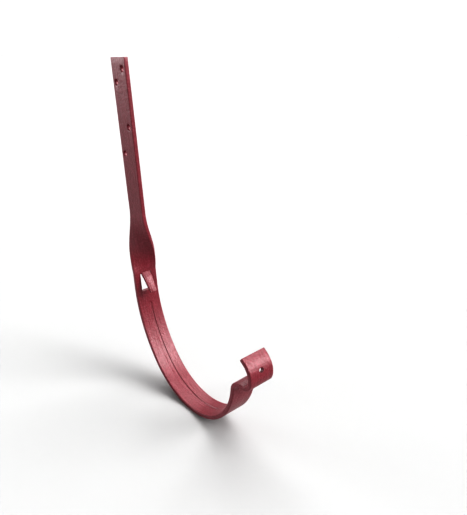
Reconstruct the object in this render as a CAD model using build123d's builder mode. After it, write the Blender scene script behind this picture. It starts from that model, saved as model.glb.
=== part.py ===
from build123d import *
import os
from math import atan2, cos, degrees, radians, sin

# Gutter bracket bent from one flat steel bar, for a half-round gutter.
# The stem is twisted a quarter turn, so its top lies flat against a rafter's side.
#
# Frame: the origin is on the face that lies against the rafter, on the bar's centre line
# and level with the top screw hole. +Z runs up the stem, +X away from the wall to the
# gutter's front, and +Y along the gutter and into the rafter.
# Heights below count from the arc's start, where the stem's straight foot ends.

# Flat bar
bar_width = 25.0
bar_thickness = 4.0
edge_radius = 0.7

# Arc under the gutter, measured on the face that the gutter lies on
gutter_width = 150.0
back_radius = 120.0
back_angle = 40.0
seat_angle = 132.0

# Hook for the gutter's front bead: radii are the inside of each bend.
# The curl is tighter at its foot than up its front.
crest_radius = 8.7
crest_angle = 84.5
ledge_length = 1.7
curl_foot_radius = 8.0
curl_foot_angle = 76.0
curl_radius = 14.5
curl_angle = 68.0
tip_length = 5.0

# Stem and its twist
stem_height = 222.0
twist_start = 16.0
twist_length = 64.0
twist_turn = 90.0
twist_ease = 1.18
twist_steps = 12

# Screw holes in the twisted top: two along each edge, at these drops below the bar's end
screw_hole_diameter = 6.0
screw_hole_inset = 6.0
outer_hole_drops = (9.5, 60.0)
inner_hole_drops = (21.0, 85.5)

# Window in the stem, with the tongue that was cut out of it
window_width = 12.5
window_foot = -5.5
window_corner_radius = 0.6
tongue_height = 15.2
tongue_thickness = 2.2
tongue_root_width = 10.0
tongue_tip_width = 7.2
tongue_root_angle = 46.0
tongue_root_length = 6.0
tongue_tip_angle = 33.0
tongue_tip_length = 16.3
tongue_bend_radius = 1.5
tongue_anchor = 3.0
window_head_gap = 1.0

# Stiffening groove pressed into the arc, with a flat floor and a round end at each arc angle
groove_width = 4.4
groove_floor_width = 3.2
groove_depth = 0.6
groove_start_angle = 9.9
groove_end_angle = 115.0

# Hole through the front of the curl
curl_hole_diameter = 4.5
curl_hole_tilt = 18.0

# Sizes that follow from the ones above
half_thickness = bar_thickness / 2
back_reach = back_radius * (1 - cos(radians(back_angle)))
seat_radius = (gutter_width - back_reach) / (1 + cos(radians(back_angle)))
twist_end = twist_start + twist_length
groove_flare = (groove_width - groove_floor_width) / 2
groove_wall_angle = degrees(atan2(groove_flare, groove_depth))
screw_hole_offset = bar_width / 2 - screw_hole_inset
window_head = tongue_height - window_head_gap

# Where the arc begins, and the bar's side plane and front plane through that point
arc_start = Vector(0, -half_thickness, outer_hole_drops[0] - stem_height)
side_plane = Plane(origin=arc_start, x_dir=(1, 0, 0), z_dir=(0, -1, 0))
front_plane = Plane(origin=arc_start, x_dir=(0, 1, 0), z_dir=(1, 0, 0))


def heading(turned):
    """Direction of travel in the side plane, after the bar has turned this far from straight down."""
    return Vector(sin(radians(turned)), 0, -cos(radians(turned)))


def inward(turned):
    """Direction out of the bar's gutter side, after the bar has turned this far from straight down."""
    return Vector(cos(radians(turned)), 0, sin(radians(turned)))


def stem_section(height, turned):
    """Plane across the stem at a height, turned about the stem's centre line."""
    across = Vector(sin(radians(turned)), cos(radians(turned)), 0)
    return Plane(origin=arc_start + Vector(0, 0, height), x_dir=across, z_dir=(0, 0, 1))


# The tongue: its bent side profile, narrowed towards the tip
with BuildPart() as tongue:
    root_face = arc_start + Vector(half_thickness, 0, tongue_height)
    root_way = heading(tongue_root_angle)
    root_middle = root_face - inward(tongue_root_angle) * (tongue_thickness / 2)
    bend_point = root_middle + root_way * tongue_root_length
    tip_point = bend_point + heading(tongue_tip_angle) * tongue_tip_length
    anchor_point = root_middle - root_way * tongue_anchor
    with BuildLine() as tongue_line:
        FilletPolyline(anchor_point, bend_point, tip_point, radius=tongue_bend_radius)
    with BuildSketch(Plane(origin=anchor_point, x_dir=(0, 1, 0), z_dir=root_way)):
        Rectangle(tongue_root_width, tongue_thickness)
    sweep()
    outline_top = anchor_point.Z - arc_start.Z + tongue_thickness
    outline_foot = tip_point.Z - arc_start.Z - tongue_thickness
    with BuildSketch(front_plane.offset(-bar_thickness)):
        with BuildLine():
            Polyline(
                (-tongue_root_width / 2, outline_top),
                (-tongue_root_width / 2, tongue_height),
                (-tongue_tip_width / 2, outline_foot),
                (tongue_tip_width / 2, outline_foot),
                (tongue_root_width / 2, tongue_height),
                (tongue_root_width / 2, outline_top),
                close=True,
            )
        make_face()
    extrude(amount=tip_point.X + 2 * bar_thickness, mode=Mode.INTERSECT)

with BuildPart() as gutter_bracket:
    # Lower bar: the foot of the stem, the arc, the crest and the curl in one tangent line
    with BuildLine(side_plane) as bar_line:
        stem = Line((0, twist_start), (0, 0))
        back = JernArc(stem @ 1, stem % 1, back_radius + half_thickness, back_angle)
        seat = JernArc(back @ 1, back % 1, seat_radius + half_thickness, seat_angle)
        crest = JernArc(seat @ 1, seat % 1, crest_radius + half_thickness, -crest_angle)
        ledge = Line(crest @ 1, crest @ 1 + (crest % 1) * ledge_length)
        curl_foot = JernArc(
            ledge @ 1,
            ledge % 1,
            curl_foot_radius + half_thickness,
            curl_foot_angle,
        )
        curl = JernArc(curl_foot @ 1, curl_foot % 1, curl_radius + half_thickness, curl_angle)
        Line(curl @ 1, curl @ 1 + (curl % 1) * tip_length)
    with BuildSketch(stem_section(twist_start, 0)):
        RectangleRounded(bar_width, bar_thickness, edge_radius)
    sweep()

    # Quarter twist: the turn starts briskly above the tongue and dies away upwards
    for step in range(twist_steps + 1):
        share = step / twist_steps
        turned = twist_turn * sin(radians(90 * share**twist_ease))
        with BuildSketch(stem_section(twist_start + share * twist_length, turned)):
            RectangleRounded(bar_width, bar_thickness, edge_radius)
    loft()

    # Straight top
    with BuildSketch(stem_section(twist_end, twist_turn)):
        RectangleRounded(bar_width, bar_thickness, edge_radius)
    extrude(amount=stem_height - twist_end)

    # Screw holes, staggered along the two edges of the top
    screw_hole_places = [(screw_hole_offset, stem_height - drop) for drop in outer_hole_drops]
    screw_hole_places += [(-screw_hole_offset, stem_height - drop) for drop in inner_hole_drops]
    with BuildSketch(side_plane):
        with Locations(screw_hole_places):
            Circle(screw_hole_diameter / 2)
    extrude(amount=bar_thickness, both=True, mode=Mode.SUBTRACT)

    # Window, then the tongue that hangs out of its head
    with BuildSketch(front_plane):
        with Locations((0, (window_head + window_foot) / 2)):
            RectangleRounded(window_width, window_head - window_foot, window_corner_radius)
    extrude(amount=bar_thickness, both=True, mode=Mode.SUBTRACT)
    add(tongue.part)

    # Groove along the middle of the arc, flared from its floor up to the surface
    back_centre = arc_start + Vector(half_thickness + back_radius, 0, 0)
    groove_start = back_centre - inward(groove_start_angle) * (back_radius + groove_depth)
    with BuildLine(side_plane) as groove_line:
        groove_back = JernArc(
            groove_start,
            heading(groove_start_angle),
            back_radius + groove_depth,
            back_angle - groove_start_angle,
        )
        groove_seat = JernArc(
            groove_back @ 1,
            groove_back % 1,
            seat_radius + groove_depth,
            groove_end_angle - back_angle,
        )
    floor_edge = groove_floor_width / 2
    flared_edge = floor_edge + 2 * groove_flare
    with BuildSketch(
        Plane(origin=groove_start, x_dir=(0, 1, 0), z_dir=heading(groove_start_angle))
    ):
        with BuildLine():
            Polyline(
                (-floor_edge, 0),
                (floor_edge, 0),
                (flared_edge, 2 * groove_depth),
                (-flared_edge, 2 * groove_depth),
                close=True,
            )
        make_face()
    sweep(mode=Mode.SUBTRACT)

    # Round ends of the groove
    for groove_end, angle in ((groove_start, groove_start_angle), (groove_seat @ 1, groove_end_angle)):
        with BuildSketch(Plane(origin=groove_end, x_dir=(0, 1, 0), z_dir=inward(angle))):
            Circle(floor_edge)
        extrude(amount=2 * groove_depth, taper=-groove_wall_angle, mode=Mode.SUBTRACT)

    # Hole through the curl's front wall
    curl_hole_way = (cos(radians(curl_hole_tilt)), 0, sin(radians(curl_hole_tilt)))
    with BuildSketch(Plane(origin=curl.arc_center, z_dir=curl_hole_way)):
        Circle(curl_hole_diameter / 2)
    extrude(amount=curl_radius + 2 * bar_thickness, mode=Mode.SUBTRACT)

gutter_bracket.part.label = "gutter_bracket"

os.makedirs("parts", exist_ok=True)
export_step(gutter_bracket.part, "parts/gutter_bracket.step")
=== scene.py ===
"""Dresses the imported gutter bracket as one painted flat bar, and sets up the studio around it.

The bar is modelled as it is made: a short block of flat bar is drawn out and twisted upwards,
then bent downwards round each of its bends, and only then pressed, pierced and painted.
All sizes are in millimetres in the classes below, and become metres in the meshes.
"""

import logging
from collections.abc import Callable
from dataclasses import dataclass, field
from enum import Enum
from math import atan2, cos, degrees, hypot, radians, sin

import bmesh
import bpy
from mathutils import Matrix, Vector

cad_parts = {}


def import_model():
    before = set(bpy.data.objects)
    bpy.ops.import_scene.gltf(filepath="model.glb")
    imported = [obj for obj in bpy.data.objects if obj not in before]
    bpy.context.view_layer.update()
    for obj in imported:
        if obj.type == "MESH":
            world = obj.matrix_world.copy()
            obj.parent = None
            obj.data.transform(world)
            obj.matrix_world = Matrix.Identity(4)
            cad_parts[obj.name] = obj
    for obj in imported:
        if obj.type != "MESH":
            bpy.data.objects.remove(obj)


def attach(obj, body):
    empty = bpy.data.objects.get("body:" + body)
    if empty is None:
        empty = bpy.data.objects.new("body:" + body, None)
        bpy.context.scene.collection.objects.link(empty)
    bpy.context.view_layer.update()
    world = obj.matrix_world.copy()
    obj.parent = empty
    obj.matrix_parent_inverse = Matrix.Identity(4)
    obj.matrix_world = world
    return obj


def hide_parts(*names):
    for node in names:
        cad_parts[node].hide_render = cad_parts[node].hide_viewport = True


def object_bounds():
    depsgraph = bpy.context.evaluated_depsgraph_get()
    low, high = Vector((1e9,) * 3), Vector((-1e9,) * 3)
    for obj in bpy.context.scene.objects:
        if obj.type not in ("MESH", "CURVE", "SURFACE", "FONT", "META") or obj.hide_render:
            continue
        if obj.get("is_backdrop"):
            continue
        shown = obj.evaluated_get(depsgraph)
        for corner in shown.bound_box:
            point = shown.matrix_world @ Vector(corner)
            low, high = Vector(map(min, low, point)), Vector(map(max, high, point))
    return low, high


LOG = logging.getLogger("gutter_bracket")
NODE = "gutter_bracket"
BODY = "root"
MM = 0.001
VIEW_GAMMA = 0.62

# Two places in millimetres, or headings in degrees, that are closer than this are the same one,
# and so are two depths in millimetres that agree to this many decimals.
PLACE_TOLERANCE = 0.02
MERGE_DISTANCE = 0.002
HEADING_TOLERANCE = 0.01
DEPTH_DIGITS = 4

# A face or an edge points in a direction when the cosine between them is greater than this.
FACING = 0.9
STRAIGHT_ON = 0.99

# An edge between faces that turn by more than this is sharp, is a hole's rim, or is a corner.
SMOOTH_ANGLE = radians(32.0)
RIM_ANGLE = radians(40.0)
CORNER_ANGLE = radians(60.0)

# An edge goes through the bar when it is longer than this share of the bar's thickness, and a
# place belongs to a bend when it lies no further past its ends than this share of its length.
THROUGH_SHARE = 0.9
END_SHARE = 0.05


# Small tools that the classes share


def linear_colour(hex_code: str) -> tuple[float, float, float, float]:
    """Turns an sRGB hex colour into the linear colour that the shader takes.

    Args:
        hex_code: six hex digits, with or without a leading hash.

    Returns:
        Linear red, green, blue and an alpha of one.
    """
    digits = hex_code.lstrip("#")
    channels = [int(digits[place : place + 2], 16) / 255 for place in (0, 2, 4)]
    # These are the numbers of the sRGB curve itself.
    linear = [c / 12.92 if c <= 0.04045 else ((c + 0.055) / 1.055) ** 2.4 for c in channels]
    return (linear[0], linear[1], linear[2], 1.0)


def deselect_everything() -> None:
    """Leaves object mode with nothing selected."""
    if bpy.context.mode != "OBJECT":
        bpy.ops.object.mode_set(mode="OBJECT")
    bpy.ops.object.select_all(action="DESELECT")


def make_active(piece: bpy.types.Object) -> None:
    """Selects one object alone and makes it the active one.

    Args:
        piece: the object to select.
    """
    deselect_everything()
    piece.select_set(True)
    bpy.context.view_layer.objects.active = piece


def apply_place(piece: bpy.types.Object) -> None:
    """Moves an object's place, turn and scale into its mesh."""
    make_active(piece)
    bpy.ops.object.transform_apply(location=True, rotation=True, scale=True)


class Pick(Enum):
    """Kind of mesh element that a selection works on."""

    VERTS = "VERT"
    EDGES = "EDGE"
    FACES = "FACE"


def select_where(piece: bpy.types.Object, kind: Pick, test: Callable[..., bool]) -> None:
    """Selects the elements of the piece in edit mode that pass a test, and nothing else.

    Args:
        piece: the object being edited.
        kind: which elements are tested.
        test: gets a bmesh element and says whether it is wanted.
    """
    bpy.ops.mesh.select_mode(type=kind.value)
    bpy.ops.mesh.select_all(action="DESELECT")
    mesh = bmesh.from_edit_mesh(piece.data)
    elements = {Pick.VERTS: mesh.verts, Pick.EDGES: mesh.edges, Pick.FACES: mesh.faces}[kind]
    wanted = [element for element in elements if test(element)]
    for element in wanted:
        element.select_set(True)
    mesh.select_flush_mode()
    bmesh.update_edit_mesh(piece.data)


def cut_away(piece: bpy.types.Object, cutter: bpy.types.Object, join: bool = False) -> None:
    """Cuts a closed cutter out of the piece, or joins it on, and removes the cutter.

    Args:
        piece: the object that is changed.
        cutter: the closed object that is used up.
        join: True to fuse the cutter on instead.
    """
    make_active(piece)
    boolean = piece.modifiers.new("cut", "BOOLEAN")
    boolean.operation = "UNION" if join else "DIFFERENCE"
    boolean.solver = "EXACT"
    boolean.object = cutter
    bpy.ops.object.modifier_apply(modifier=boolean.name)
    bpy.data.objects.remove(cutter, do_unlink=True)


# Bar, bends and twist


@dataclass(frozen=True)
class Bend:
    """One tangent bend or straight of the bar, seen from its side.

    Attributes:
        radius: radius of the bar's centre line, or 0 for a straight.
        turn: angle turned in degrees, positive towards the gutter's middle.
        length: length of a straight.
        steps: rings of faces that the bend is made in.
    """

    radius: float
    turn: float
    length: float
    steps: int

    @property
    def side(self) -> float:
        """One for a bend towards the gutter's middle, and minus one for a bend away from it."""
        return 1.0 if self.turn > 0 else -1.0


@dataclass
class BarSizes:
    """Sizes of the bracket in millimetres and degrees, in the part's own frame.

    The two rows of rings give the rings of faces in each stretch of the arc, where the groove's
    round ends need finer ones, and in the crest, the ledge, the curl's foot, the curl and the tip.
    """

    width: float = 25.0
    thickness: float = 4.0
    edge_radius: float = 0.7
    stem_height: float = 222.0
    top_hole_drop: float = 9.5
    twist_start: float = 16.0
    twist_length: float = 64.0
    twist_turn: float = 90.0
    twist_ease: float = 1.18
    gutter_width: float = 150.0
    back_radius: float = 120.0
    back_angle: float = 40.0
    seat_angle: float = 132.0
    crest_radius: float = 8.7
    crest_angle: float = 84.5
    ledge_length: float = 1.7
    curl_foot_radius: float = 8.0
    curl_foot_angle: float = 76.0
    curl_radius: float = 14.5
    curl_angle: float = 68.0
    tip_length: float = 5.0
    window_width: float = 12.5
    window_head: float = 14.2
    window_foot: float = -5.5
    window_corner: float = 0.6
    arc_rings: tuple[int, ...] = (3, 6, 14, 30, 60, 12, 43)
    hook_rings: tuple[int, ...] = (26, 1, 24, 24, 3)
    edge_segments: int = 4

    @property
    def half_thickness(self) -> float:
        """Half of the bar's thickness."""
        return self.thickness / 2

    @property
    def seat_radius(self) -> float:
        """Inside radius under the gutter, which makes the arc as wide as the gutter."""
        reach = self.back_radius * (1 - cos(radians(self.back_angle)))
        return (self.gutter_width - reach) / (1 + cos(radians(self.back_angle)))

    @property
    def start(self) -> Vector:
        """Where the stem ends and the arc begins, on the bar's centre line."""
        return Vector((0.0, -self.half_thickness, self.top_hole_drop - self.stem_height))

    def turned(self, height: float) -> float:
        """Angle in degrees that the stem has twisted through at a height above the arc's start."""
        share = min(max((height - self.twist_start) / self.twist_length, 0.0), 1.0)
        # A quarter of a sine wave starts briskly and dies away upwards.
        return self.twist_turn * sin(radians(90 * share**self.twist_ease))

    def bends(self, groove: "Groove") -> list[Bend]:
        """The bends below the stem in order, each a run that the bar is drawn through.

        Args:
            groove: the groove whose round ends need finer rings of faces.

        Returns:
            The bends from the window's foot to the tip of the hook.
        """
        half = self.half_thickness
        back, seat = self.back_radius + half, self.seat_radius + half
        first, last = groove.start_heading, groove.end_heading
        stops = [
            (back, degrees(-self.window_foot / back)),
            (back, first - groove.end_turn(back)),
            (back, first + groove.ring_margin),
            (back, self.back_angle),
            (seat, last - groove.ring_margin),
            (seat, last + groove.end_turn(seat)),
            (seat, self.back_angle + self.seat_angle),
        ]
        arc: list[Bend] = []
        heading = 0.0
        for (radius, stop), rings in zip(stops, self.arc_rings, strict=True):
            arc.append(Bend(radius, stop - heading, 0.0, rings))
            heading = stop
        crest, ledge, foot, curl, tip = self.hook_rings
        return arc + [
            Bend(self.crest_radius + half, -self.crest_angle, 0.0, crest),
            Bend(0.0, 0.0, self.ledge_length, ledge),
            Bend(self.curl_foot_radius + half, self.curl_foot_angle, 0.0, foot),
            Bend(self.curl_radius + half, self.curl_angle, 0.0, curl),
            Bend(0.0, 0.0, self.tip_length, tip),
        ]


@dataclass(frozen=True)
class Run:
    """A bend at its place: where it starts, its heading, its centre and the bar's length so far.

    Attributes:
        bend: the bend that is placed.
        begin: start on the centre line, as (x, z) from the arc's start.
        heading: direction at the start in degrees, 0 straight down and 90 towards the front.
        centre: bend centre as (x, z), or the start for a straight.
        along: bar length from the arc's start to here.
    """

    bend: Bend
    begin: tuple[float, float]
    heading: float
    centre: tuple[float, float]
    along: float

    @property
    def length(self) -> float:
        """Length of the run along the bar's centre line."""
        return self.bend.length or self.bend.radius * radians(abs(self.bend.turn))


def place_runs(bends: list[Bend]) -> list[Run]:
    """Lays the bends end to end from the arc's start, each tangent to the last.

    Args:
        bends: the bends in order.

    Returns:
        The same bends with their places.
    """
    runs: list[Run] = []
    x, z, heading, along = 0.0, 0.0, 0.0, 0.0
    for bend in bends:
        way = (sin(radians(heading)), -cos(radians(heading)))
        if bend.radius:
            inward = (-way[1] * bend.side, way[0] * bend.side)
            centre = (x + inward[0] * bend.radius, z + inward[1] * bend.radius)
            run = Run(bend, (x, z), heading, centre, along)
            out = radians(heading + bend.turn)
            x = centre[0] - cos(out) * bend.radius * bend.side
            z = centre[1] - sin(out) * bend.radius * bend.side
        else:
            run = Run(bend, (x, z), heading, (x, z), along)
            x, z = x + way[0] * bend.length, z + way[1] * bend.length
        runs.append(run)
        heading += bend.turn
        along += run.length
    return runs


@dataclass
class Tongue:
    """The tongue cut out of the stem and bent forward over the gutter's back edge.

    Its angles are counted from the stem, and the anchor is the length sunk into the bar.
    """

    height: float = 15.2
    thickness: float = 2.2
    root_width: float = 10.0
    bend_width: float = 9.35
    tip_width: float = 7.2
    root_angle: float = 46.0
    root_length: float = 6.0
    tip_angle: float = 33.0
    tip_length: float = 16.3
    anchor: float = 3.0
    bend_radius: float = 1.5
    bend_steps: int = 3
    edge_softness: float = 0.25
    edge_segments: int = 2

    def build(self, bar: BarSizes) -> bpy.types.Object:
        """Models the tongue as a closed strip whose upper end sits inside the bar.

        Args:
            bar: the sizes of the bar that it hangs from.

        Returns:
            The tongue, ready to be fused on.
        """
        angle = radians(self.root_angle)
        way = Vector((sin(angle), 0.0, -cos(angle)))
        normal = Vector((cos(angle), 0.0, sin(angle)))
        face = bar.start + Vector((bar.half_thickness, 0.0, self.height))
        middle = face - normal * (self.thickness / 2)
        trim = self.bend_radius * sin(radians(self.root_angle - self.tip_angle) / 2)
        block = self.anchor + self.root_length - trim
        bpy.ops.mesh.primitive_cube_add(
            size=1.0,
            location=(middle + way * (block / 2 - self.anchor)) * MM,
            rotation=(0.0, -angle, 0.0),
            scale=(self.thickness * MM, self.root_width * MM, block * MM),
        )
        piece = bpy.context.active_object
        apply_place(piece)
        bpy.ops.object.mode_set(mode="EDIT")
        select_where(piece, Pick.FACES, lambda f: f.normal.dot(way) > FACING)
        bend_start = middle + way * (block - self.anchor)
        centre = (bend_start - normal * self.bend_radius) * MM
        bend_way = Vector((sin(radians(self.tip_angle)), 0.0, -cos(radians(self.tip_angle))))
        narrow = (1.0, self.bend_width / self.root_width, 1.0)
        bpy.ops.transform.resize(value=narrow, center_override=centre)
        bpy.ops.mesh.spin(
            steps=self.bend_steps,
            angle=radians(self.root_angle - self.tip_angle),
            center=centre,
            axis=(0.0, -1.0, 0.0),
        )
        bpy.ops.mesh.extrude_region_move(
            TRANSFORM_OT_translate={"value": bend_way * (self.tip_length - trim) * MM}
        )
        taper = (1.0, self.tip_width / self.bend_width, 1.0)
        bpy.ops.transform.resize(value=taper, center_override=centre)
        select_where(piece, Pick.EDGES, lambda e: e.calc_face_angle(0.0) > CORNER_ANGLE)
        bpy.ops.mesh.bevel(
            offset=self.edge_softness * MM, segments=self.edge_segments, affect="EDGES"
        )
        bpy.ops.object.mode_set(mode="OBJECT")
        return piece


@dataclass
class Groove:
    """The stiffening groove in the inside of the arc, with a flat floor and round ends.

    The headings are those of the bar where the groove's straight edges start and end, and the
    ring margin keeps a ring of faces just clear of each of them.
    """

    width: float = 4.4
    floor_width: float = 3.2
    depth: float = 0.6
    start_heading: float = 9.9
    end_heading: float = 115.0
    ring_margin: float = 0.4

    def end_turn(self, radius: float) -> float:
        """Degrees of a bend that one round end of the groove takes up."""
        return degrees(self.width / 2 / radius) + self.ring_margin

    def depth_at(self, across: float, heading: float, radius: float) -> float:
        """Depth in millimetres at a point of the arc's inner face.

        Args:
            across: distance from the middle of the bar.
            heading: the bar's heading there in degrees.
            radius: inside radius of the arc there.

        Returns:
            The depth, or zero outside the groove.
        """
        over = max(self.start_heading - heading, heading - self.end_heading, 0.0)
        out = hypot(across, radians(over) * radius)
        share = (self.width / 2 - out) / (self.width / 2 - self.floor_width / 2)
        return self.depth * min(max(share, 0.0), 1.0)


@dataclass
class GutterBracket:
    """The whole bracket: one flat bar, twisted, bent, grooved and pierced.

    The outer screw holes are those near the stem's gutter side, and drops are counted from the
    top of the stem. The bar's faces are divided into strips along its length.
    """

    bar: BarSizes = field(default_factory=BarSizes)
    tongue: Tongue = field(default_factory=Tongue)
    groove: Groove = field(default_factory=Groove)
    screw_hole_radius: float = 3.0
    screw_hole_inset: float = 6.0
    outer_hole_drops: tuple[float, ...] = (9.5, 60.0)
    inner_hole_drops: tuple[float, ...] = (21.0, 85.5)
    curl_hole_radius: float = 2.25
    curl_hole_tilt: float = 18.0
    strips: int = 20
    twist_steps: int = 40
    top_steps: int = 24
    hole_sides: int = 48
    drill_length: float = 12.0
    corner_segments: int = 3
    rim_softness: float = 0.25
    rim_segments: int = 2
    end_softness: float = 0.4
    end_segments: int = 3
    piece: bpy.types.Object = field(init=False)
    runs: list[Run] = field(init=False)

    def build(self) -> None:
        """Models the bracket from end to end."""
        self.runs = place_runs(self.bar.bends(self.groove))
        self._make_foot()
        self._draw_stem_up()
        self._bend_bar_down()
        self._press_groove()
        self._pierce_window()
        self._soften_ends()
        bpy.ops.object.mode_set(mode="OBJECT")
        cut_away(self.piece, self.tongue.build(self.bar), join=True)
        self._drill_screw_holes()
        self._drill_curl_hole()
        self._clean_up()

    def dress(self, paint: "WinePowderPaint") -> None:
        """Paints the finished piece and puts it on its body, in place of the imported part.

        Args:
            paint: the finish of the whole bar.
        """
        self._lay_flow_map()
        self.piece.data.materials.clear()
        self.piece.data.materials.append(paint.make())
        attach(self.piece, BODY)
        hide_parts(NODE)
        LOG.info("%s: %d faces", self.piece.name, len(self.piece.data.polygons))

    def slid_lines(self) -> list[tuple[float, float]]:
        """Finds where the lines between the middle strips go, so that the groove has edges.

        Returns:
            For each line on one side, its even distance from the bar's middle and the new one.
        """
        strip = self.bar.width / self.strips
        floor_edge, rim = self.groove.floor_width / 2, self.groove.width / 2
        return [(strip, floor_edge / 2), (2 * strip, floor_edge), (3 * strip, rim)]

    def at(self, x: float, y: float, z: float) -> Vector:
        """A point in metres, from millimetres counted from the arc's start."""
        return (self.bar.start + Vector((x, y, z))) * MM

    def local(self, point: Vector) -> Vector:
        """A mesh point in millimetres counted from the arc's start."""
        return point / MM - self.bar.start

    def _make_foot(self) -> None:
        """Starts from a block of bar as tall as the window, in strips and with rounded edges."""
        bar = self.bar
        bpy.ops.mesh.primitive_cube_add(
            size=1.0,
            location=self.at(0.0, 0.0, bar.window_head / 2),
            scale=(bar.thickness * MM, bar.width * MM, bar.window_head * MM),
        )
        self.piece = bpy.context.active_object
        self.piece.name = "painted_gutter_bracket"
        self.piece.data.name = self.piece.name
        apply_place(self.piece)
        bpy.ops.object.mode_set(mode="EDIT")
        select_where(self.piece, Pick.EDGES, self._runs_across)
        bpy.ops.mesh.subdivide(number_cuts=self.strips - 1)
        middle = self.at(0.0, 0.0, 0.0)
        for old, new in self.slid_lines():
            select_where(
                self.piece,
                Pick.VERTS,
                lambda v, old=old: abs(abs(self.local(v.co).y) - old) < PLACE_TOLERANCE,
            )
            bpy.ops.transform.resize(value=(1.0, new / old, 1.0), center_override=middle)
        corner = bar.width / 2 - PLACE_TOLERANCE
        select_where(
            self.piece,
            Pick.EDGES,
            lambda e: abs(e.verts[0].co.z - e.verts[1].co.z) > bar.window_head / 2 * MM
            and abs(self._middle(e).y) > corner,
        )
        bpy.ops.mesh.bevel(
            offset=bar.edge_radius * MM, segments=bar.edge_segments, affect="EDGES"
        )

    def _middle(self, edge: bmesh.types.BMEdge) -> Vector:
        """The middle of an edge, in millimetres from the arc's start."""
        return self.local((edge.verts[0].co + edge.verts[1].co) / 2)

    def _runs_across(self, edge: bmesh.types.BMEdge) -> bool:
        """Whether an edge runs straight across the bar's width."""
        way = (edge.verts[1].co - edge.verts[0].co).normalized()
        return abs(way.y) > STRAIGHT_ON

    def _draw_stem_up(self) -> None:
        """Extrudes the stem upwards: plain, then turned a little at each step, then plain."""
        bar = self.bar
        select_where(self.piece, Pick.FACES, lambda f: f.normal.z > FACING)
        rise = bar.twist_start - bar.window_head
        bpy.ops.mesh.extrude_region_move(TRANSFORM_OT_translate={"value": (0.0, 0.0, rise * MM)})
        step = bar.twist_length / self.twist_steps
        for number in range(self.twist_steps):
            height = bar.twist_start + number * step
            turn = radians(bar.turned(height + step) - bar.turned(height))
            bpy.ops.mesh.extrude_region_move(
                TRANSFORM_OT_translate={"value": (0.0, 0.0, step * MM)}
            )
            # With no window this operator turns the other way, so plus here turns +Y towards +X.
            bpy.ops.transform.rotate(
                value=turn, orient_axis="Z", center_override=self.at(0.0, 0.0, height)
            )
        twist_end = bar.twist_start + bar.twist_length
        step = (bar.stem_height - twist_end) / self.top_steps
        for _ in range(self.top_steps):
            bpy.ops.mesh.extrude_region_move(
                TRANSFORM_OT_translate={"value": (0.0, 0.0, step * MM)}
            )

    def _bend_bar_down(self) -> None:
        """Spins the bar's lower end round each bend in turn, down to the tip of the hook."""
        select_where(self.piece, Pick.FACES, lambda f: f.normal.z < -FACING)
        for run in self.runs:
            if run.bend.radius:
                bpy.ops.mesh.spin(
                    steps=run.bend.steps,
                    angle=radians(abs(run.bend.turn)),
                    center=self.at(run.centre[0], 0.0, run.centre[1]),
                    axis=(0.0, run.bend.side, 0.0),
                )
            else:
                way = radians(run.heading)
                step = run.bend.length / run.bend.steps * MM
                for _ in range(run.bend.steps):
                    bpy.ops.mesh.extrude_region_move(
                        TRANSFORM_OT_translate={"value": (sin(way) * step, 0.0, -cos(way) * step)}
                    )

    def _press_groove(self) -> None:
        """Pushes the middle lines of the arc's inner face outwards, ring by ring at the ends."""
        for run in [run for run in self.runs if run.bend.radius > self.bar.seat_radius]:
            inner = run.bend.radius - self.bar.half_thickness
            groups: dict[float, set[int]] = {}
            bpy.ops.object.mode_set(mode="OBJECT")
            for vertex in self.piece.data.vertices:
                place = self.local(vertex.co)
                out = hypot(place.x - run.centre[0], place.z - run.centre[1])
                heading = self._heading_round(run, place)
                past = heading - run.heading + HEADING_TOLERANCE
                if abs(out - inner) < PLACE_TOLERANCE and 0.0 <= past <= run.bend.turn:
                    depth = self.groove.depth_at(place.y, heading, inner)
                    if depth > 0.0:
                        groups.setdefault(round(depth, DEPTH_DIGITS), set()).add(vertex.index)
            bpy.ops.object.mode_set(mode="EDIT")
            centre = self.at(run.centre[0], 0.0, run.centre[1])
            for depth, members in groups.items():
                select_where(self.piece, Pick.VERTS, lambda v, group=members: v.index in group)
                grow = (inner + depth) / inner
                bpy.ops.transform.resize(value=(grow, 1.0, grow), center_override=centre)

    def _heading_round(self, run: Run, place: Vector) -> float:
        """Heading of a bend at the point of it that is nearest to a place.

        Args:
            run: the bend.
            place: millimetres from the arc's start.

        Returns:
            The heading in degrees, between -90 and 270.
        """
        side = run.bend.side
        angle = degrees(
            atan2((run.centre[1] - place.z) * side, (run.centre[0] - place.x) * side)
        )
        return angle + 360.0 if angle < -90.0 else angle

    def _pierce_window(self) -> None:
        """Takes out the window's two faces, walls it through the bar and softens its corners."""
        bar = self.bar
        half = bar.window_width / 2
        through = bar.thickness * THROUGH_SHARE * MM

        def in_window(place: Vector, margin: float) -> bool:
            """Whether a place is in the window's opening, widened by a margin."""
            return (
                abs(place.y) < half + margin
                and bar.window_foot - margin < place.z < bar.window_head + margin
                and abs(place.x) < bar.thickness
            )

        def is_corner(edge: bmesh.types.BMEdge) -> bool:
            """Whether an edge is a sharp one of the window's walls."""
            sharp = edge.calc_face_angle(0.0) > CORNER_ANGLE
            return sharp and in_window(self._middle(edge), bar.window_corner / 2)

        select_where(
            self.piece,
            Pick.FACES,
            lambda f: abs(f.normal.x) > FACING
            and in_window(self.local(f.calc_center_median()), 0.0),
        )
        bpy.ops.mesh.delete(type="FACE")
        select_where(self.piece, Pick.EDGES, lambda e: e.is_boundary)
        bpy.ops.mesh.bridge_edge_loops()
        select_where(
            self.piece,
            Pick.EDGES,
            lambda e: is_corner(e) and abs(e.verts[0].co.x - e.verts[1].co.x) > through,
        )
        bpy.ops.mesh.bevel(
            offset=bar.window_corner * MM, segments=self.corner_segments, affect="EDGES"
        )
        select_where(self.piece, Pick.EDGES, is_corner)
        self._bevel_rims()

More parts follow.
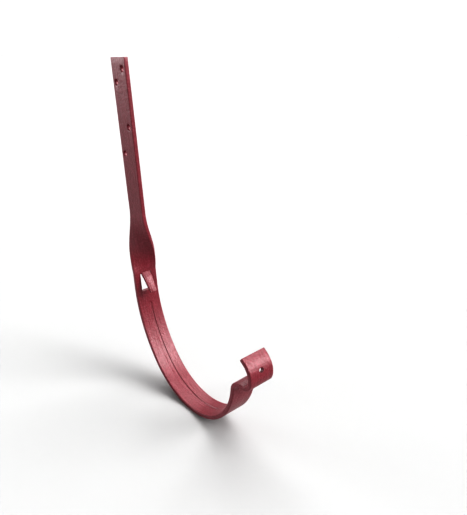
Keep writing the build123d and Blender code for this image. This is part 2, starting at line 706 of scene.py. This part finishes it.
    def _soften_ends(self) -> None:
        """Gives the sheared top and tip of the bar a slightly rounded rim."""
        last = self.runs[-1]
        heading = radians(last.heading)
        way = Vector((sin(heading), 0.0, -cos(heading)))
        tip = self.at(last.begin[0], 0.0, last.begin[1]) + way * last.length * MM
        top = self.at(0.0, 0.0, self.bar.stem_height)
        for end, out in ((top, Vector((0.0, 0.0, 1.0))), (tip, way)):
            select_where(
                self.piece,
                Pick.FACES,
                lambda f, end=end, out=out: f.normal.dot(out) > STRAIGHT_ON
                and abs((f.calc_center_median() - end).dot(out)) < PLACE_TOLERANCE * MM
                and (f.calc_center_median() - end).length < self.bar.width * MM,
            )
            bpy.ops.mesh.dissolve_faces()
            bpy.ops.mesh.region_to_loop()
            bpy.ops.mesh.bevel(
                offset=self.end_softness * MM, segments=self.end_segments, affect="EDGES"
            )

    def _bevel_rims(self) -> None:
        """Softens the selected rims of an opening."""
        bpy.ops.mesh.bevel(
            offset=self.rim_softness * MM, segments=self.rim_segments, affect="EDGES"
        )

    def _drill(self, centre: Vector, way: Vector, radius: float) -> None:
        """Drills a round hole straight through the bar.

        Args:
            centre: middle of the hole in the bar's thickness, in metres.
            way: unit vector along the hole.
            radius: the hole's radius in millimetres.
        """
        bpy.ops.mesh.primitive_cylinder_add(
            vertices=self.hole_sides,
            radius=radius * MM,
            depth=self.drill_length * MM,
            location=centre,
            rotation=way.to_track_quat("Z", "Y").to_euler(),
        )
        drill = bpy.context.active_object
        apply_place(drill)
        cut_away(self.piece, drill)

    def _round_rims(self, centre: Vector, way: Vector, radius: float) -> None:
        """Softens the two rims of a hole drilled through a flat part of the bar.

        Args:
            centre: middle of the hole in the bar's thickness, in metres.
            way: unit vector along the hole.
            radius: the hole's radius in millimetres.
        """
        bpy.ops.object.mode_set(mode="EDIT")
        reach = self.drill_length / 2 * MM

        def on_rim(edge: bmesh.types.BMEdge) -> bool:
            """Whether an edge is part of the hole's sharp rim.

            Args:
                edge: the edge that is tested.

            Returns:
                True for a rim edge.
            """
            if edge.calc_face_angle(0.0) < RIM_ANGLE:
                return False
            offsets = [vertex.co - centre for vertex in edge.verts]
            if any(offset.length > reach for offset in offsets):
                return False
            outs = [(offset - way * offset.dot(way)).length / MM for offset in offsets]
            return all(abs(out - radius) < PLACE_TOLERANCE for out in outs)

        select_where(self.piece, Pick.EDGES, on_rim)
        self._bevel_rims()
        bpy.ops.object.mode_set(mode="OBJECT")

    def _ream_rims(self, centre: Vector, way: Vector, radius: float) -> None:
        """Chamfers the two rims of a hole drilled through a bent part of the bar.

        Each reamer is a cone that starts inside the hole and widens past the bar's face, since
        a bevel would fold the small faces round a rim that isn't flat.

        Args:
            centre: middle of the hole in the bar's thickness, in metres.
            way: unit vector along the hole.
            radius: the hole's radius in millimetres.
        """
        slack = self.rim_softness / 2
        for out in (way, -way):
            bpy.ops.mesh.primitive_cone_add(
                vertices=self.hole_sides,
                radius1=(radius - slack) * MM,
                radius2=(radius + 2 * self.rim_softness) * MM,
                depth=(2 * self.rim_softness + slack) * MM,
                location=centre + out * (self.bar.half_thickness - slack / 2) * MM,
                rotation=out.to_track_quat("Z", "Y").to_euler(),
            )
            reamer = bpy.context.active_object
            apply_place(reamer)
            cut_away(self.piece, reamer)

    def _drill_screw_holes(self) -> None:
        """Drills the four staggered screw holes in the twisted top."""
        offset = self.bar.width / 2 - self.screw_hole_inset
        way = Vector((0.0, 1.0, 0.0))
        places = [(offset, drop) for drop in self.outer_hole_drops]
        places += [(-offset, drop) for drop in self.inner_hole_drops]
        for x, drop in places:
            centre = self.at(x, 0.0, self.bar.stem_height - drop)
            self._drill(centre, way, self.screw_hole_radius)
            self._round_rims(centre, way, self.screw_hole_radius)

    def _drill_curl_hole(self) -> None:
        """Drills the hole in the front wall of the curl."""
        curl = self.runs[-2]
        tilt = radians(self.curl_hole_tilt)
        way = Vector((cos(tilt), 0.0, sin(tilt)))
        centre = self.at(curl.centre[0], 0.0, curl.centre[1]) + way * curl.bend.radius * MM
        self._drill(centre, way, self.curl_hole_radius)
        self._ream_rims(centre, way, self.curl_hole_radius)

    def _clean_up(self) -> None:
        """Merges doubles, points the faces outwards and shades smooth up to a fixed angle."""
        make_active(self.piece)
        bpy.ops.object.mode_set(mode="EDIT")
        bpy.ops.mesh.select_all(action="SELECT")
        bpy.ops.mesh.remove_doubles(threshold=MERGE_DISTANCE * MM)
        bpy.ops.mesh.normals_make_consistent(inside=False)
        bpy.ops.object.mode_set(mode="OBJECT")
        bpy.ops.object.shade_smooth_by_angle(angle=SMOOTH_ANGLE)

    def _lay_flow_map(self) -> None:
        """Lays a UV map with the bar's length along u and its width along v, both in metres."""
        mesh = self.piece.data
        flow = mesh.uv_layers.new(name="bar_flow")
        for loop in mesh.loops:
            place = self.local(mesh.vertices[loop.vertex_index].co)
            flow.data[loop.index].uv = [value * MM for value in self._flow(place)]

    def _flow(self, place: Vector) -> tuple[float, float]:
        """How far along and across the bar a place is, in millimetres.

        Args:
            place: millimetres from the arc's start.

        Returns:
            Length along the bar from the arc's start, and distance across from its middle.
        """
        if place.z >= 0.0 and abs(place.x) < self.bar.width:
            turned = radians(self.bar.turned(place.z))
            return (-place.z, place.x * sin(turned) + place.y * cos(turned))
        best, along = self.bar.thickness, 0.0
        for run in self.runs:
            if run.bend.radius:
                heading = self._heading_round(run, place)
                part = (heading - run.heading) / run.bend.turn
                out = hypot(place.x - run.centre[0], place.z - run.centre[1])
                off = abs(out - run.bend.radius)
            else:
                way = radians(run.heading)
                x, z = place.x - run.begin[0], place.z - run.begin[1]
                part = (x * sin(way) - z * cos(way)) / run.bend.length
                off = abs(x * cos(way) + z * sin(way))
            if -END_SHARE <= part <= 1.0 + END_SHARE and off < best:
                best, along = off, run.along + part * run.length
        return (along, place.y)


# Finish


@dataclass(frozen=True)
class Fleck:
    """One layer of a paint's pattern.

    Attributes:
        size: size of the pattern's features in millimetres.
        detail: octaves of the noise.
        low: noise value below which the layer does nothing.
        high: noise value at which it is at its full strength.
        strength: its greatest share in the mix.
    """

    size: float
    detail: float
    low: float
    high: float
    strength: float


@dataclass(frozen=True)
class WinePowderPaint:
    """Polyester powder paint, sprayed on the mill-finished steel bar and cured in an oven.

    Its size fields are in millimetres, and its colours are sRGB hex.
    """

    # To the eye it is a wine red with a satin sheen: the highlights are soft and pale pink, the
    # cured grains break them into a fine sparkle, the bar's own mill marks show through as faint
    # streaks along its length, and slow clouds of a deeper red vary the flat faces.
    #
    # The real grains are about 0.3 mm across and the mill marks about 0.3 mm wide, too fine to
    # show where a pixel is about 1 mm. Both are drawn about five times as coarse, as they need
    # to be to show, and their heights are raised with them.
    base: str = "6B1D29"
    deep: str = "5A1721"
    bloom: str = "9A4A59"
    roughness: float = 0.38
    roughness_spread: float = 0.08
    ior: float = 1.5
    gloss: float = 0.57
    clouds: Fleck = Fleck(size=14.0, detail=3.0, low=0.35, high=0.75, strength=0.28)
    grain: Fleck = Fleck(size=1.7, detail=3.0, low=0.46, high=0.70, strength=0.27)
    streaks: Fleck = Fleck(size=1.5, detail=2.0, low=0.50, high=0.76, strength=0.22)
    streak_length: float = 18.0
    grain_height: float = 0.32
    streak_height: float = 0.26

    def make(self) -> bpy.types.Material:
        """Builds the material.

        Returns:
            The painted steel material.
        """
        material = bpy.data.materials.new("wine_powder_paint")
        tree = empty_tree(material)
        place = add_node(tree, "ShaderNodeTexCoord")
        flow = add_node(tree, "ShaderNodeUVMap", settings={"uv_map": "bar_flow"})
        stretch = (1.0 / (self.streak_length * MM), 1.0 / (self.streaks.size * MM), 1.0)
        along = add_node(
            tree,
            "ShaderNodeMapping",
            values={"Scale": stretch},
            links={"Vector": (flow, "UV")},
        )
        cloud_noise = self._noise(tree, self.clouds, (place, "Object"))
        grain_noise = self._noise(tree, self.grain, (place, "Object"))
        streak_noise = self._noise(tree, self.streaks, (along, "Vector"), scale=1.0)
        clouds = self._share(tree, self.clouds, cloud_noise)
        grain = self._share(tree, self.grain, grain_noise)
        streaks = self._share(tree, self.streaks, streak_noise)
        shade = self._mix(tree, clouds, linear_colour(self.base), linear_colour(self.deep))
        speckled = self._mix(tree, grain, (shade, "Result"), linear_colour(self.bloom))
        brushed = self._mix(tree, streaks, (speckled, "Result"), linear_colour(self.bloom))
        rough = add_node(
            tree,
            "ShaderNodeMapRange",
            values={
                "From Min": 0.0,
                "From Max": self.streaks.strength,
                "To Min": self.roughness,
                "To Max": self.roughness - self.roughness_spread,
            },
            links={"Value": (streaks, "Result")},
        )
        ribbed = add_node(
            tree,
            "ShaderNodeBump",
            values={"Strength": 1.0, "Distance": self.streak_height * MM},
            links={"Height": (streak_noise, "Fac")},
        )
        bump = add_node(
            tree,
            "ShaderNodeBump",
            values={"Strength": 1.0, "Distance": self.grain_height * MM},
            links={"Height": (grain_noise, "Fac"), "Normal": (ribbed, "Normal")},
        )
        shader = add_node(
            tree,
            "ShaderNodeBsdfPrincipled",
            values={"IOR": self.ior, "Metallic": 0.0, "Specular IOR Level": self.gloss},
            links={
                "Base Color": (brushed, "Result"),
                "Roughness": (rough, "Result"),
                "Normal": (bump, "Normal"),
            },
        )
        add_node(tree, "ShaderNodeOutputMaterial", links={"Surface": (shader, "BSDF")})
        return material

    def _noise(
        self,
        tree: bpy.types.NodeTree,
        fleck: Fleck,
        coordinates: tuple[bpy.types.Node, str],
        scale: float | None = None,
    ) -> bpy.types.Node:
        """Adds one layer's noise.

        Args:
            tree: the material's node tree.
            fleck: the layer's size and detail.
            coordinates: the node and output that the noise reads.
            scale: the noise's scale, where its coordinates are already scaled.

        Returns:
            The noise node.
        """
        return add_node(
            tree,
            "ShaderNodeTexNoise",
            values={"Scale": scale or 1.0 / (fleck.size * MM), "Detail": fleck.detail},
            links={"Vector": coordinates},
        )

    def _share(
        self, tree: bpy.types.NodeTree, fleck: Fleck, noise: bpy.types.Node
    ) -> bpy.types.Node:
        """Adds the range that turns a layer's noise into its share of the mix.

        Args:
            tree: the material's node tree.
            fleck: the layer's range and strength.
            noise: the layer's noise node.

        Returns:
            The node whose Result is the share.
        """
        return add_node(
            tree,
            "ShaderNodeMapRange",
            values={
                "From Min": fleck.low,
                "From Max": fleck.high,
                "To Min": 0.0,
                "To Max": fleck.strength,
            },
            links={"Value": (noise, "Fac")},
        )

    def _mix(
        self,
        tree: bpy.types.NodeTree,
        share: bpy.types.Node,
        under: tuple[bpy.types.Node, str] | tuple[float, float, float, float],
        over: tuple[float, float, float, float],
    ) -> bpy.types.Node:
        """Adds a colour mix of one layer over another.

        Args:
            tree: the material's node tree.
            share: the node whose Result is the upper layer's share.
            under: the lower colour, or the node and output that give it.
            over: the upper colour.

        Returns:
            The mix node.
        """
        links: dict[str, tuple[bpy.types.Node, str]] = {"Factor": (share, "Result")}
        values: dict[str, object] = {"B": over}
        if isinstance(under[0], bpy.types.Node):
            links["A"] = under
        else:
            values["A"] = under
        return add_node(
            tree, "ShaderNodeMix", settings={"data_type": "RGBA"}, values=values, links=links
        )


def empty_tree(owner: bpy.types.Material | bpy.types.World) -> bpy.types.NodeTree:
    """Turns on the nodes of a material or a world and clears away its first ones.

    Args:
        owner: the material or world.

    Returns:
        Its empty node tree.
    """
    owner.use_nodes = True
    owner.node_tree.nodes.clear()
    return owner.node_tree


def add_node(
    tree: bpy.types.NodeTree,
    kind: str,
    settings: dict[str, object] | None = None,
    values: dict[str, object] | None = None,
    links: dict[str, tuple[bpy.types.Node, str]] | None = None,
) -> bpy.types.Node:
    """Adds a shader node with its settings, input values and links.

    Args:
        tree: the node tree to add to.
        kind: the node's type name.
        settings: the node's own attributes.
        values: input values by socket name.
        links: for each input socket, the node and output that feed it.

    Returns:
        The new node.
    """
    node = tree.nodes.new(kind)
    for name, value in (settings or {}).items():
        setattr(node, name, value)
    for name, value in (values or {}).items():
        open_socket(node.inputs, name).default_value = value
    for name, (source, output) in (links or {}).items():
        tree.links.new(open_socket(source.outputs, output), open_socket(node.inputs, name))
    return node


def open_socket(sockets: bpy.types.bpy_prop_collection, name: str) -> bpy.types.NodeSocket:
    """The enabled socket with this name, since a mix node has one for each kind of data."""
    return next(socket for socket in sockets if socket.name == name and socket.enabled)


# Studio and camera


@dataclass(frozen=True)
class FarSoftbox:
    """A big round softbox so far away that it lights the whole floor evenly.

    Attributes:
        name: what the light is for.
        azimuth: degrees round from +X towards +Y.
        elevation: degrees above the floor.
        spread: the angle that the light fills, in degrees.
        strength: watts per square metre, facing it.
    """

    name: str
    azimuth: float
    elevation: float
    spread: float
    strength: float

    def hang(self) -> None:
        """Adds the light to the scene."""
        around, up = radians(self.azimuth), radians(self.elevation)
        way = Vector((cos(around) * cos(up), sin(around) * cos(up), sin(up)))
        bpy.ops.object.light_add(type="SUN", location=way)
        lamp = bpy.context.active_object
        lamp.name = self.name
        lamp.data.angle = radians(self.spread)
        lamp.data.energy = self.strength
        lamp.rotation_euler = way.to_track_quat("Z", "Y").to_euler()


@dataclass
class Studio:
    """A pale floor, a backdrop that is white behind the floor and dim above, and softboxes.

    The floor's size is in metres. The backdrop is white up to the elevation of its top and has
    faded out at that of its fade, both in degrees. The softboxes are placed so that the paint's
    highlights fall on the arc, the tongue and the curl as they do in the photograph.
    """

    floor_size: float = 400.0
    floor_colour: str = "A4A4A4"
    floor_roughness: float = 0.9
    sky_colour: str = "FFFFFF"
    backdrop_strength: float = 1.05
    overhead_strength: float = 0.02
    backdrop_top: float = 12.5
    backdrop_fade: float = 20.0
    # Name, azimuth, elevation, spread and strength of each
    lights: tuple[FarSoftbox, ...] = (
        FarSoftbox("key_low", 40.0, 12.0, 32.0, 1.2),
        FarSoftbox("key_middle", 38.0, 32.0, 30.0, 3.0),
        FarSoftbox("key_high", 43.0, 52.0, 32.0, 1.3),
        FarSoftbox("key_side", 20.0, 34.0, 32.0, 0.9),
        FarSoftbox("top_softbox", 100.0, 52.0, 32.0, 1.95),
        FarSoftbox("back_softbox", 150.0, 46.0, 40.0, 1.9),
        FarSoftbox("left_softbox", -150.0, 14.0, 34.0, 1.7),
        FarSoftbox("front_softbox", -88.0, 12.0, 32.0, 0.5),
        FarSoftbox("corner_softbox", -52.0, 14.0, 32.0, 0.4),
        FarSoftbox("zenith_softbox", 0.0, 80.0, 60.0, 1.0),
    )

    def set_up(self, floor_height: float) -> None:
        """Builds the floor, the sky and the lights.

        Args:
            floor_height: height of the floor in metres.
        """
        deselect_everything()
        bpy.ops.mesh.primitive_plane_add(size=self.floor_size, location=(0.0, 0.0, floor_height))
        floor = bpy.context.active_object
        floor.name = "studio_floor"
        apply_place(floor)
        floor.data.materials.append(self._floor_paint())
        floor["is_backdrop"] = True
        bpy.context.scene.world = self._sky()
        for light in self.lights:
            light.hang()

    def _sky(self) -> bpy.types.World:
        """Builds a white backdrop low down that fades to a dim ceiling.

        Returns:
            The world.
        """
        world = bpy.data.worlds.new("studio_sky")
        tree = empty_tree(world)
        way = add_node(tree, "ShaderNodeTexCoord")
        parts = add_node(tree, "ShaderNodeSeparateXYZ", links={"Vector": (way, "Generated")})
        fade = add_node(
            tree,
            "ShaderNodeMapRange",
            settings={"interpolation_type": "SMOOTHSTEP"},
            values={
                "From Min": sin(radians(self.backdrop_top)),
                "From Max": sin(radians(self.backdrop_fade)),
                "To Min": self.backdrop_strength,
                "To Max": self.overhead_strength,
            },
            links={"Value": (parts, "Z")},
        )
        sky = add_node(
            tree,
            "ShaderNodeBackground",
            values={"Color": linear_colour(self.sky_colour)},
            links={"Strength": (fade, "Result")},
        )
        add_node(tree, "ShaderNodeOutputWorld", links={"Surface": (sky, "Background")})
        return world

    def _floor_paint(self) -> bpy.types.Material:
        """Builds the floor's paint, a matt emulsion in plain pale grey.

        Returns:
            The floor's material.
        """
        # To the eye it is an even pale surface with no gleam, which only takes the soft shadows.
        material = bpy.data.materials.new("matt_pale_floor")
        tree = empty_tree(material)
        shader = add_node(
            tree,
            "ShaderNodeBsdfPrincipled",
            values={
                "Base Color": linear_colour(self.floor_colour),
                "Roughness": self.floor_roughness,
            },
        )
        add_node(tree, "ShaderNodeOutputMaterial", links={"Surface": (shader, "BSDF")})
        return material


@dataclass(frozen=True)
class PhotoCamera:
    """The camera at the photograph's place, for a picture 467 pixels wide and 515 high.

    Attributes:
        position: the lens in millimetres, in the part's own frame.
        right: unit vector to the picture's right.
        forward: unit vector along the view.
        focal_pixels: focal length in pixels of the picture.
        picture_width: width of the picture in pixels.
        sensor_width: width of the sensor in millimetres.
        clip_near: nearest distance that is drawn, in metres.
        clip_far: furthest distance that is drawn, in metres.
    """

    position: tuple[float, float, float] = (433.96, -232.22, 16.86)
    right: tuple[float, float, float] = (0.64017, 0.76713, -0.04127)
    forward: tuple[float, float, float] = (-0.71757, 0.5779, -0.38875)
    focal_pixels: float = 508.4
    picture_width: int = 467
    sensor_width: float = 36.0
    clip_near: float = 0.01
    clip_far: float = 100.0

    def set_up(self) -> None:
        """Adds the camera and makes it the scene's own."""
        bpy.ops.object.camera_add()
        camera = bpy.context.active_object
        camera.name = "photo_camera"
        data = camera.data
        data.sensor_fit = "HORIZONTAL"
        data.sensor_width = self.sensor_width
        data.lens = self.focal_pixels / self.picture_width * self.sensor_width
        data.clip_start, data.clip_end = self.clip_near, self.clip_far
        back = -Vector(self.forward).normalized()
        right = Vector(self.right)
        right = (right - back * right.dot(back)).normalized()
        up = back.cross(right)
        turn = Matrix((right, up, back)).transposed()
        camera.matrix_world = Matrix.Translation(Vector(self.position) * MM) @ turn.to_4x4()
        bpy.context.scene.camera = camera


def main() -> None:
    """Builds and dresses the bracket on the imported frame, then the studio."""
    logging.basicConfig(level=logging.INFO, format="%(name)s: %(message)s")
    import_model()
    solid_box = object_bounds()
    deselect_everything()
    bracket = GutterBracket()
    bracket.build()
    bracket.dress(WinePowderPaint())
    Studio().set_up(floor_height=solid_box[0][2])
    PhotoCamera().set_up()
    view = bpy.context.scene.view_settings
    view.view_transform = "Standard"
    view.gamma = VIEW_GAMMA


if __name__ == "__main__":
    main()
